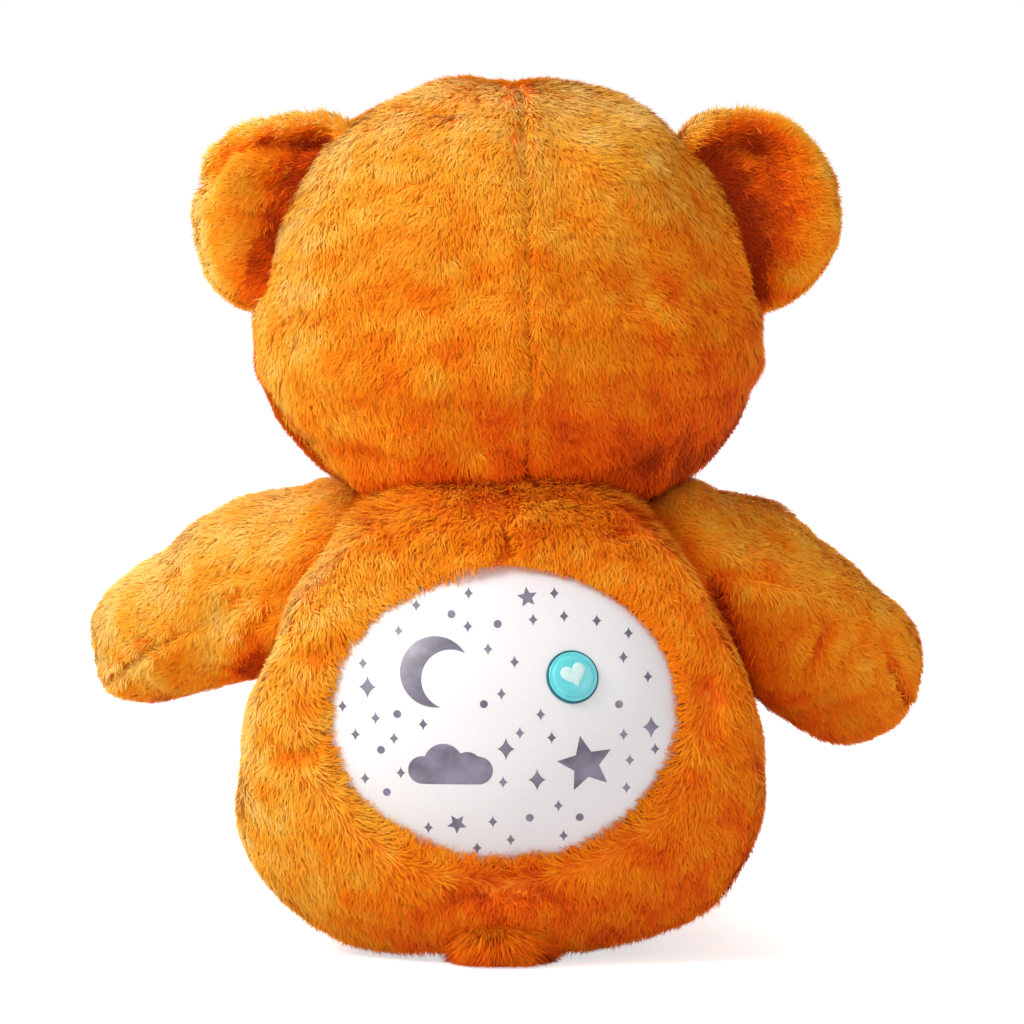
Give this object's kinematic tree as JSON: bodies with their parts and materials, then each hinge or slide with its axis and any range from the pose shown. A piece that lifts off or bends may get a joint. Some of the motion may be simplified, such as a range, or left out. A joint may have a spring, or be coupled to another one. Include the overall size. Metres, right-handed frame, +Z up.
{
  "type": "plush night light",
  "caption": "Seated stuffed bear with a pierced oval lamp dome and a press button in its back.",
  "frame": {"origin": "on the floor, at the middle of the flat seat under the body", "axes": "+Z up; -Y the way the bear faces, +Y out of its back; +X to the bear's own left"},
  "size_m": [0.2762, 0.2244, 0.291],
  "materials": {
    "fur": "short orange plush pile",
    "pale_fur": "short pale plush pile",
    "black_plastic": "polished black plastic",
    "washer_plastic": "plain moulded plastic",
    "dome_plastic": "satin white moulding",
    "lens_plastic": "smoky grey moulding seen through the windows",
    "case_plastic": "plain moulded plastic",
    "board": "green lacquered board",
    "red_lamp": "clear tinted resin",
    "green_lamp": "clear tinted resin",
    "blue_lamp": "clear tinted resin",
    "red_wire": "red wire sleeve",
    "black_wire": "black wire sleeve",
    "teal_plastic": "satin teal moulding",
    "heart_plastic": "pale teal moulding",
    "steel": "plain bright steel",
    "cell_sleeve": "printed metal sleeve, left bare"
  },
  "bodies": {
    "trunk": {"body": "fur", "tail": "fur", "star_dome": "dome_plastic", "dome_lens": "lens_plastic", "rear_case": "case_plastic", "battery_door": "case_plastic", "circuit_board": "board", "switch_board": "board", "led_red": "red_lamp", "led_green": "green_lamp", "led_blue": "blue_lamp", "lead_red": "red_wire", "lead_black": "black_wire", "lead_switch": "black_wire", "button_spring": "steel", "tact_switch": "steel", "door_screw": "steel", "case_screw_1": "steel", "case_screw_2": "steel", "case_screw_3": "steel", "case_screw_4": "steel", "contact_spring_1": "steel", "contact_plate_1": "steel", "cell_1": "cell_sleeve", "contact_spring_2": "steel", "contact_plate_2": "steel", "cell_2": "cell_sleeve", "contact_spring_3": "steel", "contact_plate_3": "steel", "cell_3": "cell_sleeve"},
    "head": {"head": "fur", "muzzle": "pale_fur", "nose": "black_plastic", "nose_washer": "washer_plastic", "ear_left": "fur", "ear_right": "fur", "eye_left": "black_plastic", "eye_right": "black_plastic", "eye_washer_left": "washer_plastic", "eye_washer_right": "washer_plastic"},
    "left_arm": {"arm_left": "fur"},
    "right_arm": {"arm_right": "fur"},
    "left_leg": {"leg_left": "fur", "sole_left": "pale_fur"},
    "right_leg": {"leg_right": "fur", "sole_right": "pale_fur"},
    "button": {"button_cap": "teal_plastic", "button_heart": "heart_plastic", "switch_plunger": "black_plastic"}
  },
  "joints": [
    {"name": "head_turn", "type": "hinge", "parent": "trunk", "child": "head", "pos_m": [0, 0, 0.15], "axis": [0, 0, 1], "range_deg": [-25, 25], "stiffness_Nm_per_rad": 0.5},
    {"name": "left_arm_lift", "type": "hinge", "parent": "trunk", "child": "left_arm", "pos_m": [0.05808, -0.004, 0.129], "axis": [0, -1, 0], "range_deg": [0, 40], "stiffness_Nm_per_rad": 0.3},
    {"name": "right_arm_lift", "type": "hinge", "parent": "trunk", "child": "right_arm", "pos_m": [-0.05808, -0.004, 0.129], "axis": [0, 1, 0], "range_deg": [0, 40], "stiffness_Nm_per_rad": 0.3},
    {"name": "left_leg_lift", "type": "hinge", "parent": "trunk", "child": "left_leg", "pos_m": [0.038, -0.04604, 0.0275], "axis": [-1, 0, 0], "range_deg": [0, 20], "stiffness_Nm_per_rad": 0.4},
    {"name": "right_leg_lift", "type": "hinge", "parent": "trunk", "child": "right_leg", "pos_m": [-0.038, -0.04604, 0.0275], "axis": [-1, 0, 0], "range_deg": [0, 20], "stiffness_Nm_per_rad": 0.4},
    {"name": "button_press", "type": "slide", "parent": "trunk", "child": "button", "axis": [0.2627, -0.9218, -0.2849], "range_m": [0, 0.001], "stiffness_N_per_m": 1000, "springref_m": -0.001, "deforming": ["button_spring"]}
  ]
}
